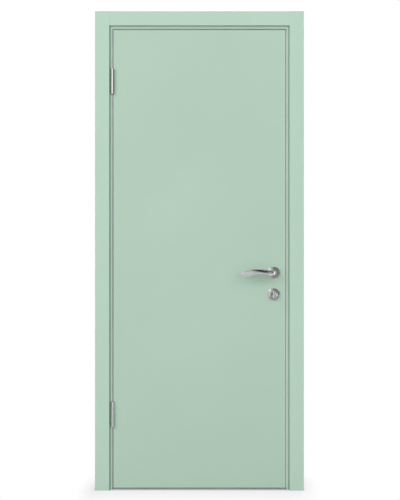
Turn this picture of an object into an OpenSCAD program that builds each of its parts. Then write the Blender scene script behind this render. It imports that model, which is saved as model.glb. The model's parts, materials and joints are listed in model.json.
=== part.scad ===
// Interior door: a flush painted leaf with a metal edge, hung on two knuckled hinges
// in a rebated timber frame with flat casings on both sides, with lever handles and a privacy turn.
// X runs across the door with the hinges at -X, the door opens towards -Y, and +Z is up.

/* [Leaf] */
// Width of the leaf over its metal edges
leaf_w = 772; // [600:1:900]
// Height of the leaf over its metal edges
leaf_h = 2040; // [1900:1:2300]
// Thickness of the leaf
leaf_t = 40; // [38:1:46]
// Thickness of each painted skin
skin_t = 3; // [2.5:0.5:4]
// Width of the metal edge as seen from the front
edge_lip = 4; // [3:0.5:6]
// Wall of the metal edge along the side of the leaf
edge_web = 1.6; // [1.2:0.1:2.2]
// Radius of the metal edge's outer corners
edge_round = 1; // [0.4:0.1:1.2]
// Width of the shadow groove between a skin and the metal edge
groove_w = 2.8; // [1:0.1:3]
// Depth of that groove
groove_d = 2; // [1:0.1:2.2]
// Depth of the barb that holds the metal edge
barb_depth = 8; // [6:0.5:10]
// Thickness of that barb
barb_t = 2; // [1.5:0.1:3]
// Width of the upright members inside the leaf
stile_w = 42; // [36:1:60]
// Height of the cross members inside the leaf
rail_h = 60; // [40:5:100]
// Diameter of the tubes through the core board
core_tube_d = 24; // [16:1:26]
// Spacing of those tubes
core_tube_pitch = 32; // [28:1:40]

/* [Frame] */
// Gap between the leaf and the frame at the sides and top
edge_gap = 2; // [1.5:0.5:4]
// Part of that gap left in sight in front, where the metal edge has a nose
nose_gap = 0.8; // [0.5:0.1:1.5]
// Gap under the leaf
floor_gap = 5; // [2:1:12]
// Depth of the frame, equal to the wall it lines
jamb_depth = 100; // [90:1:160]
// Thickness of the frame where the leaf sits
jamb_t = 25; // [24:1:35]
// How far the stop stands into the opening
stop_proj = 14; // [13:1:20]
// Gap between the stop and the back of the leaf
seal_gap = 3; // [2.5:0.5:5]
// Width of the casings
casing_w = 63; // [50:1:100]
// Thickness of the casings
casing_t = 12; // [8:1:14]
// Strip of frame left in sight between leaf and casing
casing_reveal = 11; // [8:1:14]
// Radius of the casings' front edges
casing_round = 1.5; // [1:0.5:4]
// Thickness of the tongue that holds a casing
tongue_t = 4; // [3:0.5:5]
// Length of that tongue
tongue_l = 8; // [6:0.5:9]
// Diameter of the wall fixing holes
fixing_d = 9; // [6:0.5:12]
// Height of the lower wall fixings
fixing_low = 500; // [400:10:700]
// Height of the upper wall fixings
fixing_high = 1600; // [1300:10:1700]

/* [Hinges] */
// Height of the lower hinge above the bottom of the leaf
hinge_low = 331; // [200:1:400]
// Drop of the upper hinge below the top of the leaf
hinge_drop = 233; // [150:1:300]
// Length of a hinge
hinge_h = 112; // [100:1:130]
// Radius of the knuckles
knuckle_r = 7; // [6:0.5:8]
// Radius of the hinge pin
pin_r = 3.5; // [2.5:0.1:4]
// How far the pin sits towards the leaf from the middle of the gap
pin_shift = 2; // [0:0.5:3]
// Length of the top knuckle
knuckle_top = 28; // [20:1:34]
// Length of the bottom knuckle
knuckle_bottom = 25; // [20:1:34]
// Height of the bearing ring under the top knuckle
ring_h = 8; // [4:1:12]
// Thickness of the hinge plates
plate_t = 2.5; // [2:0.1:3]
// Width of the hinge plates
plate_w = 30; // [26:1:36]

/* [Handle] */
// Distance of the spindle from the leaf's lock edge
backset = 56; // [50:1:70]
// Height of the spindle above the bottom of the leaf
lever_height = 959; // [850:1:1100]
// Distance from the lever's spindle down to the privacy spindle
wc_drop = 96; // [85:1:110]
// Diameter of the roses
rose_d = 54; // [50:1:60]
// Height of the roses
rose_h = 9; // [8:0.5:12]
// Wall of the rose covers
rose_wall = 1.5; // [1:0.1:2]
// Side of the square lever spindle
spindle_w = 8; // [7:0.5:9]
// Side of the square privacy spindle
wc_spindle_w = 6; // [5:0.5:6]
// Length of the levers from the spindle to the tip
lever_len = 145; // [120:1:160]
// Reach of the levers from the face of the leaf
lever_reach = 60; // [54:1:70]
// Height of the blade at its widest
blade_h = 24; // [18:1:28]
// Height of the blade at its narrow neck
blade_neck_h = 21; // [16:0.5:22]
// Thickness of the blade at its middle
blade_t = 8.5; // [7:0.5:11]
// Radius of the lever's root above the rose
hub_r = 13; // [12:0.5:14]
// Rise of the blade's arch above the spindle
blade_rise = 7; // [3:0.5:10]
// Droop of the tip below the spindle
blade_droop = 5.5; // [0:0.5:10]
// Height of the thumb grip
grip_h = 34; // [28:1:38]
// Width of the thumb grip
grip_w = 13; // [10:0.5:16]
// Reach of the thumb grip from its disc
grip_reach = 17; // [12:1:22]

/* [Lock] */
// Width of the lock's face plate
forend_w = 20; // [18:1:22]
// Thickness of the face plate
forend_t = 3; // [2.5:0.5:4]
// How far the face plate runs past the case at each end
forend_over = 20; // [18:1:26]
// Thickness of the lock case
case_t = 15; // [14.5:0.5:17]
// Wall of the lock case
case_wall = 1.5; // [1:0.1:1.5]
// How far the latch stands out of the leaf
latch_throw = 11.5; // [10:0.5:12]
// Height of the latch head
latch_h = 20; // [16:1:22]
// Thickness of the latch head
latch_t = 11; // [9:0.5:11.5]
// Throw of the privacy bolt
bolt_throw = 14; // [12:0.5:15]
// Height of the privacy bolt
bolt_h = 24; // [20:1:26]
// Thickness of the privacy bolt
bolt_t = 8; // [7:0.5:9]
// Thickness of the strike plate
strike_t = 2; // [1.5:0.1:3]
// Width of the strike plate
strike_w = 24; // [22:1:26]

/* [Hidden] */
$fn = 48;

// Overshoot of a cut past the face that it opens
over = 0.5;
// Radial clearance of a turning fit
run_fit = 0.05;
// Clearance of a piece let into or through another
let_in = 0.2;
// Clearance between faces that pass each other
pass_gap = 0.3;

// Half widths, counted from the middle of the door
leaf_x = leaf_w / 2;
skin_x = leaf_x - edge_lip;
rebate_x = leaf_x + edge_gap;
stop_x = rebate_x - stop_proj;
jamb_x = rebate_x + jamb_t;
casing_x0 = rebate_x + casing_reveal;
casing_x1 = casing_x0 + casing_w;
stile_x1 = leaf_x - edge_web;
stile_x0 = stile_x1 - stile_w;
edge_nose = edge_gap - nose_gap;

// Heights
leaf_z0 = floor_gap;
leaf_z1 = leaf_z0 + leaf_h;
rebate_z = leaf_z1 + edge_gap;
casing_z1 = rebate_z + casing_reveal + casing_w;
lever_z = leaf_z0 + lever_height;
wc_z = lever_z - wc_drop;
upper_hinge_z = leaf_z1 - hinge_drop;
lower_hinge_z = leaf_z0 + hinge_low;

// Depths, with the whole door centred on Y = 0
leaf_y = (lever_reach - jamb_depth - casing_t) / 2;
leaf_back = leaf_y + leaf_t;
leaf_mid = leaf_y + leaf_t / 2;
stop_y = leaf_back + seal_gap;
jamb_back = leaf_y + jamb_depth;
mitre_spare = 10;

// Casing tongue, which stops at the top of the groove across the head, and the hollow in a casing's back
tongue_in = 3;
tongue_z1 = rebate_z + casing_reveal + tongue_in + tongue_t;
relief_in = 24;
relief_out = 8;
relief_t = 2;

// Seal
seal_u = rebate_x - stop_proj / 2;
seal_flange_w = 9;
seal_flange_t = 0.8;
seal_groove_w = 4;
seal_groove_d = 6;
seal_wall = 0.8;
seal_bulb_r = seal_gap - pass_gap - seal_flange_t;

// Hinges
pin_out = knuckle_r + 0.5;
pin_x = -leaf_x - edge_gap / 2 + pin_shift;
pin_y = leaf_y - pin_out;
plate_relief = 0.5;
plate_corner = 5;
pin_cap_r = knuckle_r - 1.5;
pin_cap_h = 1.2;
pin_tip_h = 2.5;
screw_end_in = 16;
screw_stagger = 5;
middle_z0 = -hinge_h / 2 + knuckle_bottom + pass_gap;
middle_z1 = hinge_h / 2 - knuckle_top - ring_h;

// Countersunk wood screw
screw_head_r = 4;
screw_shank_r = 1.9;
screw_head_h = 2.1;
screw_len = 20;
screw_tip = 4;

// Lock, with the case counted from the spindle
spindle_x = leaf_x - backset;
case_behind = 33;
case_above = 42;
case_below = 18;
case_x0 = spindle_x - case_behind;
case_x1 = leaf_x - forend_t;
case_z0 = wc_z - case_below;
case_z1 = lever_z + case_above;
case_mid_z = (case_z0 + case_z1) / 2;
forend_h = case_z1 - case_z0 + 2 * forend_over;
forend_screw_z = forend_h / 2 - forend_over / 2;
case_in_t = case_t - 2 * case_wall;
lock_block_margin = 30;
lock_block_over = 110;

// Latch and its follower
follower_r = 11;
follower_t = 9;
follower_boss_r = spindle_w / 2 * sqrt(2) + 2.3;
arm_w = 5;
arm_t = 6;
arm_reach = 22;
latch_up = 26;
latch_guide = 11;
latch_nose_t = 3;
stem_z0 = arm_reach + 0.7;
stem_z1 = stem_z0 + 6;
hook_x = spindle_x - arm_w / 2 - 2.7;
hook_w = 7;
hook_z0 = 14;
spring_r = 4;
spring_wire_r = 0.6;
spring_turns = 4;
spring_steps = 12;
spring_sides = 8;

// Privacy bolt and its follower
wc_boss_r = wc_spindle_w / 2 * sqrt(2) + 0.8;
wc_disc_r = 9;
crank_r = bolt_throw / sqrt(2);
crank_pin_r = 2;
crank_end_r = 4;
crank_play = 0.6;
bolt_low = 6;
bolt_guide = 31;
bolt_tail_x = 15;
bolt_tail_z = wc_boss_r + 0.4;
bolt_z0 = wc_z - bolt_low;
bolt_z1 = bolt_z0 + bolt_h;
bolt_x0 = leaf_x - bolt_guide;

// Strike
strike_h = forend_h - 16;
strike_play = 1.5;
strike_lip_h = latch_h + 8;
strike_lip_in = 1.5;
strike_box_wall = 1;
strike_box_depth = max(latch_throw, bolt_throw) - edge_gap - strike_t + 2.5;
strike_screw_in = 9;

// Roses, levers and the privacy turn
rose_r = rose_d / 2;
rose_bevel = 2;
base_r = rose_r - rose_wall - let_in;
base_t = 4;
base_collar_r = 13;
base_collar_h = rose_h - rose_wall - pass_gap;
neck_r = hub_r - 4.5;
neck_hole_r = 11;
wc_neck_r = wc_spindle_w / 2 * sqrt(2) + 1.8;
rose_bolt_x = 19;
rose_bolt_r = 2;
rose_bolt_head_r = 3.6;
rose_bolt_head_h = 2.4;
socket_end = 33;
grub_r = 2.5;
grub_out = rose_h + 7;
turn_disc_r = 17;
turn_disc_t = 2.5;
pinch_d = grip_w * 0.22;
pinch_h = grip_h - grip_w - 2;
pinch_foot = 1.2;
release_r = 12;
release_t = 1.6;
slot_w = 2.4;
slot_d = 1;

// Lever blade: each station gives the distance along, out and up from the spindle, the heading,
// half the thickness, half the height, the squareness and the roll of the section there
bend_r = 24;
roll_room = 2.3;
blade_out = lever_reach - blade_t / 2 - roll_room;
bend_out = blade_out - bend_r;
tip_round = 1.6;
lever_sides = 24;
lever_steps = 4;
lever_stations = [
  [0, rose_h + 0.4, 0, 0, hub_r, hub_r, 2, 0],
  [0, bend_out, 0, 0, hub_r - 1.2, hub_r - 1.2, 2, 0],
  [bend_r * (1 - cos(30)), bend_out + bend_r * sin(30), 0, 30, hub_r - 2, hub_r - 1.6, 2, 0],
  [bend_r * (1 - cos(60)), bend_out + bend_r * sin(60), 1, 60, hub_r - 3.6, hub_r - 2, 2.1, 4],
  [bend_r, blade_out, 2.2, 90, blade_t * 0.72, blade_neck_h / 2 + 0.4, 2.3, 10],
  [lever_len * 0.27, blade_out, blade_rise * 0.65, 90, blade_t * 0.6, blade_neck_h / 2, 2.5, 20],
  [lever_len * 0.4, blade_out, blade_rise, 90, blade_t * 0.54, blade_h * 0.44, 2.7, 22],
  [lever_len * 0.66, blade_out, blade_rise * 0.55, 91, blade_t * 0.48, blade_h / 2, 3, 8],
  [lever_len * 0.88, blade_out - 2, -blade_droop * 0.45, 95, blade_t * 0.44, blade_h * 0.48, 3.2, 0],
  [lever_len - tip_round, blade_out - 4, -blade_droop, 97, blade_t * 0.42, blade_h * 0.46, 3.4, 0]
];

// Colours
paint = [0.70, 0.80, 0.73];
metal = [0.74, 0.74, 0.76];
bright = [0.62, 0.62, 0.64];
timber = [0.80, 0.68, 0.50];
board = [0.70, 0.58, 0.42];
seal_grey = [0.62, 0.64, 0.63];
dark = [0.20, 0.20, 0.21];

// Helpers

// A box between two corners
module box(lo, hi) {
  translate(lo) cube(hi - lo);
}

// A slot shape with round ends, upright
module stadium(w, h) {
  square([w, h - w], center = true);
  for (s = [-1, 1]) translate([0, s * (h - w) / 2]) circle(w / 2);
}

// Places a part on the left-hand side
module at_left() {
  mirror([1, 0, 0]) children();
}

// Places a part on the rear face of the frame
module at_frame_rear() {
  translate([0, leaf_y + jamb_back, 0]) mirror([0, 1, 0]) children();
}

// Runs a profile of the side members along the top of the frame
module along_head(length) {
  translate([0, 0, rebate_z - rebate_x])
    rotate([0, -90, 0])
      linear_extrude(length, center = true) children();
}

// Lays an outline drawn in Y and Z as a plate that grows along X
module plate_x(x0, thickness) {
  translate([x0, 0, 0]) rotate([90, 0, 90]) linear_extrude(thickness) children();
}

// Everything above a pair of mitres that meet a corner at half width x and height z
module mitre_prism(x, z) {
  half = x + jamb_t + mitre_spare;
  span = jamb_depth + 2 * mitre_spare;
  translate([0, jamb_back + mitre_spare, 0])
    rotate([90, 0, 0])
      linear_extrude(span)
        polygon([[-half, z - x + half], [half, z - x + half], [0, z - x]]);
}

// The same at the bottom of the leaf
module mitre_prism_bottom() {
  translate([0, 0, leaf_z0 + leaf_z1]) mirror([0, 0, 1]) mitre_prism(leaf_x, leaf_z1);
}

// Stands a part on the front face of the leaf, its own Z pointing out
module on_front(z) {
  translate([spindle_x, leaf_y, z]) rotate([90, 0, 0]) children();
}

// Stands the mirror image of that part on the rear face
module on_rear(z) {
  translate([0, leaf_y + leaf_back, 0]) mirror([0, 1, 0]) on_front(z) children();
}

// A bore across the leaf on one of the spindles
module cross_bore(x, z, r) {
  translate([x, leaf_mid, z])
    rotate([90, 0, 0])
      cylinder(r = r, h = leaf_t + 2 * lever_reach, center = true);
}

// A square bar across the leaf
module cross_bar(z, side, length) {
  translate([spindle_x, leaf_mid, z]) cube([side, length, side], center = true);
}

// A countersunk screw pointing along its own Z, with its head at zero
module wood_screw(grow = 0) {
  rotate_extrude()
    polygon([
      [0, 0], [screw_head_r + grow, 0], [screw_shank_r + grow, screw_head_h],
      [screw_shank_r + grow, screw_len - screw_tip], [0, screw_len]
    ]);
}

// The hole for that screw
module wood_screw_hole() {
  wood_screw(run_fit);
  translate([0, 0, -over]) cylinder(r = screw_head_r + run_fit, h = over);
}

// Frame

module jamb_profile() {
  difference() {
    polygon([
      [rebate_x, leaf_y], [jamb_x, leaf_y], [jamb_x, jamb_back],
      [stop_x, jamb_back], [stop_x, stop_y], [rebate_x, stop_y]
    ]);
    casing_groove();
    translate([0, leaf_y + jamb_back]) mirror([0, 1]) casing_groove();
    translate([seal_u - seal_groove_w / 2, stop_y - over]) square([seal_groove_w, seal_groove_d + over]);
  }
}

module casing_groove() {
  translate([casing_x0 + tongue_in - let_in, leaf_y - over])
    square([tongue_t + 2 * let_in, tongue_l + let_in + over]);
}

module upright_jamb() {
  difference() {
    linear_extrude(rebate_z + jamb_t + mitre_spare) jamb_profile();
    mitre_prism(rebate_x, rebate_z);
    for (z = [fixing_low, fixing_high])
      translate([stop_x - over, (stop_y + jamb_back) / 2, z])
        rotate([0, 90, 0])
          cylinder(d = fixing_d, h = stop_proj + jamb_t + 2 * over);
  }
}

module hinge_jamb() {
  color(paint)
    difference() {
      at_left() upright_jamb();
      for (z = [lower_hinge_z, upper_hinge_z]) at_hinge(z) hinge_pocket(-1);
    }
}

module strike_jamb() {
  color(paint)
    difference() {
      upright_jamb();
      strike_blank(let_in);
      strike_box_blank(let_in);
      strike_screw_spots() wood_screw_hole();
    }
}

module head_jamb() {
  color(paint)
    intersection() {
      along_head(2 * (jamb_x + mitre_spare)) jamb_profile();
      mitre_prism(rebate_x, rebate_z);
    }
}

module casing_profile() {
  difference() {
    union() {
      translate([casing_x0, leaf_y - casing_t + casing_round]) square([casing_w, casing_t - casing_round]);
      translate([casing_x0 + casing_round, leaf_y - casing_t])
        square([casing_w - 2 * casing_round, casing_t]);
      for (u = [casing_x0 + casing_round, casing_x1 - casing_round])
        translate([u, leaf_y - casing_t + casing_round]) circle(casing_round);
    }
    translate([casing_x0 + relief_in, leaf_y - relief_t])
      square([casing_w - relief_in - relief_out, relief_t + over]);
  }
}

module casing_tongue() {
  translate([casing_x0 + tongue_in, leaf_y - over]) square([tongue_t, tongue_l + over]);
}

module upright_casing() {
  color(paint) {
    linear_extrude(casing_z1) casing_profile();
    linear_extrude(tongue_z1) casing_tongue();
  }
}

module head_casing() {
  color(paint)
    along_head(2 * casing_x0) {
      casing_profile();
      casing_tongue();
    }
}

module front_casing_left() {
  at_left() upright_casing();
}

module front_casing_right() {
  upright_casing();
}

module front_casing_head() {
  head_casing();
}

module rear_casing_left() {
  at_frame_rear() at_left() upright_casing();
}

module rear_casing_right() {
  at_frame_rear() upright_casing();
}

module rear_casing_head() {
  at_frame_rear() head_casing();
}

module seal_profile() {
  difference() {
    union() {
      translate([seal_u - seal_flange_w / 2, stop_y - seal_flange_t])
        square([seal_flange_w, seal_flange_t]);
      translate([seal_u - seal_groove_w / 2 + let_in, stop_y - over])
        square([seal_groove_w - 2 * let_in, seal_groove_d - let_in + over]);
      translate([seal_u, stop_y - seal_flange_t]) circle(seal_bulb_r);
    }
    translate([seal_u, stop_y - seal_flange_t]) circle(seal_bulb_r - seal_wall);
  }
}

module upright_seal() {
  color(seal_grey)
    difference() {
      linear_extrude(rebate_z) seal_profile();
      mitre_prism(rebate_x, rebate_z);
    }
}

module seal_hinge_side() {
  at_left() upright_seal();
}

module seal_strike_side() {
  upright_seal();
}

module seal_head() {
  color(seal_grey)
    intersection() {
      along_head(2 * rebate_x) seal_profile();
      mitre_prism(rebate_x, rebate_z);
    }
}

// Strike

// Where the latch and the privacy bolt enter, with play all round, from x0 to x1
module bolt_openings(x0, x1, play) {
  box([x0, leaf_mid - latch_t / 2 - play, lever_z + latch_up - latch_h / 2 - play],
      [x1, leaf_mid + latch_t / 2 + play, lever_z + latch_up + latch_h / 2 + play]);
  box([x0, leaf_mid - bolt_t / 2 - play, bolt_z0 - play],
      [x1, leaf_mid + bolt_t / 2 + play, bolt_z1 + play]);
}

module strike_blank(grow) {
  plate_x(rebate_x - (grow > 0 ? over : 0), strike_t + (grow > 0 ? over : 0)) {
    translate([leaf_mid, case_mid_z]) stadium(strike_w + 2 * grow, strike_h + 2 * grow);
    translate([leaf_y + strike_lip_in - grow, lever_z + latch_up - strike_lip_h / 2 - grow])
      square([leaf_t / 2 - strike_lip_in + grow, strike_lip_h + 2 * grow]);
  }
}

module strike_screw_spots() {
  for (s = [-1, 1])
    translate([rebate_x, leaf_mid, case_mid_z + s * (strike_h / 2 - strike_screw_in)])
      rotate([0, 90, 0]) children();
}

module strike_plate() {
  color(metal)
    difference() {
      strike_blank(0);
      bolt_openings(rebate_x - over, rebate_x + strike_t + over, strike_play);
      strike_screw_spots() wood_screw_hole();
    }
}

module strike_box_blank(grow) {
  side = latch_t / 2 + strike_play + strike_box_wall + grow;
  box([rebate_x + strike_t, leaf_mid - side, bolt_z0 - strike_play - strike_box_wall - grow],
      [rebate_x + strike_t + strike_box_depth + strike_box_wall + grow, leaf_mid + side,
       lever_z + latch_up + latch_h / 2 + strike_play + strike_box_wall + grow]);
}

module strike_box() {
  color(dark)
    difference() {
      strike_box_blank(0);
      bolt_openings(rebate_x + strike_t - over, rebate_x + strike_t + strike_box_depth, strike_play);
    }
}

module strike_screws() {
  color(metal) strike_screw_spots() wood_screw();
}

// Hinges

// Moves to a hinge, with its pin on Z and its middle at zero
module at_hinge(z) {
  translate([pin_x, pin_y, z]) children();
}

// Outline of the flat of a hinge plate, in Y and Z
module plate_outline(grow) {
  y0 = pin_out + plate_relief;
  y1 = pin_out + plate_w;
  translate([y0 - grow, -hinge_h / 2 - grow]) square([y1 - y0 - plate_corner + grow, hinge_h + 2 * grow]);
  translate([y0 - grow, -hinge_h / 2 + plate_corner])
    square([y1 - y0 + 2 * grow, hinge_h - 2 * plate_corner]);
  for (s = [-1, 1])
    translate([y1 - plate_corner, s * (hinge_h / 2 - plate_corner)]) circle(plate_corner + grow);
}

// Side -1 is the frame's plate and side 1 is the leaf's
module hinge_screw_spots(side) {
  for (k = [-1, 0, 1])
    translate([side * edge_gap / 2 - pin_shift,
               pin_out + plate_w / 2 + (k == 0 ? screw_stagger : -screw_stagger),
               k * (hinge_h / 2 - screw_end_in)])
      rotate([0, side * 90, 0]) children();
}

// What a hinge plate, its web and its screws take out of the timber and the metal edge
module hinge_pocket(side) {
  x_face = side * edge_gap / 2 - pin_shift;
  plate_x(min(x_face - side * over, x_face + side * plate_t), plate_t + over) {
    plate_outline(let_in);
    translate([0, -hinge_h / 2 - let_in])
      square([pin_out + plate_relief, hinge_h + 2 * let_in]);
  }
  hinge_screw_spots(side) wood_screw_hole();
}

// A hinge plate with knuckles over the given stretches of the pin
module hinge_plate(side, stretches) {
  x0 = min(side * edge_gap / 2, side * (edge_gap / 2 + plate_t)) - pin_shift;
  color(metal)
    difference() {
      union() {
        plate_x(x0, plate_t) plate_outline(0);
        for (k = stretches) {
          translate([0, 0, k[0]]) cylinder(r = knuckle_r, h = k[1] - k[0]);
          box([x0, 0, k[0]], [x0 + plate_t, pin_out + plate_relief + over, k[1]]);
        }
      }
      cylinder(r = pin_r + run_fit, h = hinge_h + 2 * over, center = true);
      hinge_screw_spots(side) wood_screw_hole();
    }
}

module hinge_frame_plate() {
  hinge_plate(-1, [
    [-hinge_h / 2, -hinge_h / 2 + knuckle_bottom],
    [hinge_h / 2 - knuckle_top, hinge_h / 2]
  ]);
}

module hinge_leaf_plate() {
  hinge_plate(1, [[middle_z0, middle_z1]]);
}

module hinge_pin() {
  top = hinge_h / 2;
  color(bright)
    rotate_extrude()
      polygon([
        [0, -top - pin_tip_h], [pin_r - 1, -top - pin_tip_h], [pin_r, -top - pin_tip_h + 1],
        [pin_r, top], [pin_cap_r, top], [pin_cap_r, top + pin_cap_h / 2],
        [pin_cap_r - 1, top + pin_cap_h], [0, top + pin_cap_h]
      ]);
}

module upper_hinge_frame_plate() {
  at_hinge(upper_hinge_z) hinge_frame_plate();
}

module lower_hinge_frame_plate() {
  at_hinge(lower_hinge_z) hinge_frame_plate();
}

module upper_hinge_leaf_plate() {
  at_hinge(upper_hinge_z) hinge_leaf_plate();
}

module lower_hinge_leaf_plate() {
  at_hinge(lower_hinge_z) hinge_leaf_plate();
}

module upper_hinge_pin() {
  at_hinge(upper_hinge_z) hinge_pin();
}

module lower_hinge_pin() {
  at_hinge(lower_hinge_z) hinge_pin();
}

module hinge_rings() {
  color(bright)
    for (z = [lower_hinge_z, upper_hinge_z])
      at_hinge(z)
        translate([0, 0, middle_z1])
          difference() {
            cylinder(r = knuckle_r, h = ring_h - pass_gap);
            translate([0, 0, -over]) cylinder(r = pin_r + run_fit, h = ring_h + 2 * over);
          }
}

module hinge_frame_screws() {
  color(metal) for (z = [lower_hinge_z, upper_hinge_z]) at_hinge(z) hinge_screw_spots(-1) wood_screw();
}

module hinge_leaf_screws() {
  color(metal) for (z = [lower_hinge_z, upper_hinge_z]) at_hinge(z) hinge_screw_spots(1) wood_screw();
}

// Leaf

// Holes through the leaf for the spindles and the rose bolts
module handle_bores() {
  for (z = [lever_z, wc_z]) {
    cross_bore(spindle_x, z, neck_hole_r);
    rose_bolt_bores(z, rose_bolt_r + 1);
  }
}

module rose_bolt_bores(z, r) {
  for (s = [-1, 1]) cross_bore(spindle_x + s * rose_bolt_x, z, r);
}

// Room for the lock and its face plate
module lock_pocket() {
  box([case_x0 - let_in, leaf_mid - case_t / 2 - let_in, case_z0 - let_in],
      [leaf_x + over, leaf_mid + case_t / 2 + let_in, case_z1 + let_in]);
  plate_x(leaf_x - forend_t, forend_t + over)
    translate([leaf_mid, case_mid_z]) stadium(forend_w + 2 * let_in, forend_h + 2 * let_in);
  forend_screw_spots() wood_screw_hole();
}

module leaf_skin() {
  color(paint)
    difference() {
      box([-skin_x, leaf_y, leaf_z0 + edge_lip], [skin_x, leaf_y + skin_t, leaf_z1 - edge_lip]);
      handle_bores();
    }
}

module leaf_front_skin() {
  leaf_skin();
}

module leaf_rear_skin() {
  translate([0, leaf_t - skin_t, 0]) leaf_skin();
}

// The groove round the leaf for the barb of the metal edge
module barb_groove() {
  deep = edge_web + barb_depth + let_in;
  half_t = barb_t / 2 + let_in;
  difference() {
    box([-leaf_x - over, leaf_mid - half_t, leaf_z0 - over],
        [leaf_x + over, leaf_mid + half_t, leaf_z1 + over]);
    box([-leaf_x + deep, leaf_mid - half_t - over, leaf_z0 + deep],
        [leaf_x - deep, leaf_mid + half_t + over, leaf_z1 - deep]);
  }
}

module stile() {
  difference() {
    box([stile_x0, leaf_y + skin_t, leaf_z0 + edge_web],
        [stile_x1, leaf_back - skin_t, leaf_z1 - edge_web]);
    barb_groove();
  }
}

module hinge_stile() {
  color(timber)
    difference() {
      at_left() stile();
      for (z = [lower_hinge_z, upper_hinge_z]) at_hinge(z) hinge_pocket(1);
    }
}

module lock_stile() {
  color(timber)
    difference() {
      stile();
      lock_pocket();
      handle_bores();
    }
}

module lock_block_blank() {
  box([case_x0 - lock_block_margin, leaf_y + skin_t, case_z0 - lock_block_over],
      [stile_x0, leaf_back - skin_t, case_z1 + lock_block_over]);
}

module lock_block() {
  color(timber)
    difference() {
      lock_block_blank();
      lock_pocket();
      handle_bores();
    }
}

module rail(z0) {
  color(timber)
    difference() {
      box([-stile_x0, leaf_y + skin_t, z0], [stile_x0, leaf_back - skin_t, z0 + rail_h]);
      barb_groove();
    }
}

module top_rail() {
  rail(leaf_z1 - edge_web - rail_h);
}

module bottom_rail() {
  rail(leaf_z0 + edge_web);
}

module leaf_core() {
  z0 = leaf_z0 + edge_web + rail_h;
  z1 = leaf_z1 - edge_web - rail_h;
  tubes = floor(2 * stile_x0 / core_tube_pitch);
  color(board)
    difference() {
      box([-stile_x0, leaf_y + skin_t, z0], [stile_x0, leaf_back - skin_t, z1]);
      for (i = [0 : tubes - 1])
        translate([(i - (tubes - 1) / 2) * core_tube_pitch, leaf_mid, z0 - over])
          cylinder(d = core_tube_d, h = z1 - z0 + 2 * over);
      lock_block_blank();
    }
}

// One lip of the metal edge, counted from the skin and the face of the leaf
module lip_profile(width) {
  difference() {
    union() {
      translate([0, edge_round]) square([width, skin_t - edge_round]);
      square([width - edge_round, skin_t]);
      translate([width - edge_round, edge_round]) circle(edge_round);
    }
    translate([-over, -over]) square([groove_w + over, groove_d + over]);
  }
}

// Section of the metal edge: a channel with a barb, whose front lip may have a nose
module edge_profile(nose) {
  translate([skin_x, leaf_y]) lip_profile(edge_lip + nose);
  translate([skin_x, leaf_back]) mirror([0, 1]) lip_profile(edge_lip);
  translate([stile_x1, leaf_y + skin_t - over]) square([edge_web, leaf_t - 2 * skin_t + 2 * over]);
  translate([stile_x1 - barb_depth, leaf_mid - barb_t / 2]) square([barb_depth + edge_web / 2, barb_t]);
}

module upright_edge() {
  difference() {
    translate([0, 0, leaf_z0]) linear_extrude(leaf_h + edge_nose) edge_profile(edge_nose);
    mitre_prism(leaf_x, leaf_z1);
    mitre_prism_bottom();
  }
}

module edge_hinge_side() {
  color(metal)
    difference() {
      at_left() upright_edge();
      for (z = [lower_hinge_z, upper_hinge_z]) at_hinge(z) hinge_pocket(1);
    }
}

module edge_lock_side() {
  color(metal)
    difference() {
      upright_edge();
      lock_pocket();
      box([skin_x - barb_depth, leaf_mid - barb_t, case_mid_z - forend_h / 2 - let_in],
          [stile_x1, leaf_mid + barb_t, case_mid_z + forend_h / 2 + let_in]);
    }
}

module cross_edge(nose) {
  color(metal)
    intersection() {
      translate([0, 0, leaf_z1 - leaf_x])
        rotate([0, -90, 0])
          linear_extrude(leaf_w + 2 * mitre_spare, center = true) edge_profile(nose);
      mitre_prism(leaf_x, leaf_z1);
    }
}

module edge_top() {
  cross_edge(edge_nose);
}

module edge_bottom() {
  translate([0, 0, leaf_z0 + leaf_z1]) mirror([0, 0, 1]) cross_edge(0);
}

// Lock

module forend_screw_spots() {
  for (s = [-1, 1])
    translate([leaf_x, leaf_mid, case_mid_z + s * forend_screw_z]) rotate([0, -90, 0]) children();
}

// Bearings of the two followers and the rose bolts' way through the case
module case_bores() {
  cross_bore(spindle_x, lever_z, follower_boss_r + run_fit);
  cross_bore(spindle_x, wc_z, wc_boss_r + run_fit);
  for (z = [lever_z, wc_z]) rose_bolt_bores(z, rose_bolt_r + pass_gap);
}

module lock_case() {
  color(bright)
    difference() {
      box([case_x0, leaf_mid - case_t / 2, case_z0], [case_x1, leaf_mid + case_t / 2 - case_wall, case_z1]);
      box([case_x0 + case_wall, leaf_mid - case_in_t / 2, case_z0 + case_wall],
          [case_x1 - case_wall, leaf_mid + case_t / 2, case_z1 - case_wall]);
      bolt_openings(case_x1 - case_wall - over, case_x1 + over, pass_gap);
      case_bores();
    }
}

module lock_cover() {
  color(bright)
    difference() {
      box([case_x0, leaf_mid + case_t / 2 - case_wall, case_z0], [case_x1, leaf_mid + case_t / 2, case_z1]);
      case_bores();
    }
}

module lock_forend() {
  color(metal)
    difference() {
      plate_x(case_x1, forend_t) translate([leaf_mid, case_mid_z]) stadium(forend_w, forend_h);
      bolt_openings(case_x1 - over, leaf_x + over, pass_gap);
      forend_screw_spots() wood_screw_hole();
    }
}

module forend_screws() {
  color(metal) forend_screw_spots() wood_screw();
}

module follower() {
  color(bright)
    difference() {
      union() {
        translate([spindle_x, leaf_mid, lever_z])
          rotate([90, 0, 0]) {
            cylinder(r = follower_r, h = follower_t, center = true);
            cylinder(r = follower_boss_r, h = case_t, center = true);
          }
        box([spindle_x - arm_w / 2, leaf_mid - arm_t / 2, lever_z],
            [spindle_x + arm_w / 2, leaf_mid + arm_t / 2, lever_z + arm_reach]);
      }
      cross_bar(lever_z, spindle_w + 2 * run_fit, leaf_t);
    }
}

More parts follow.
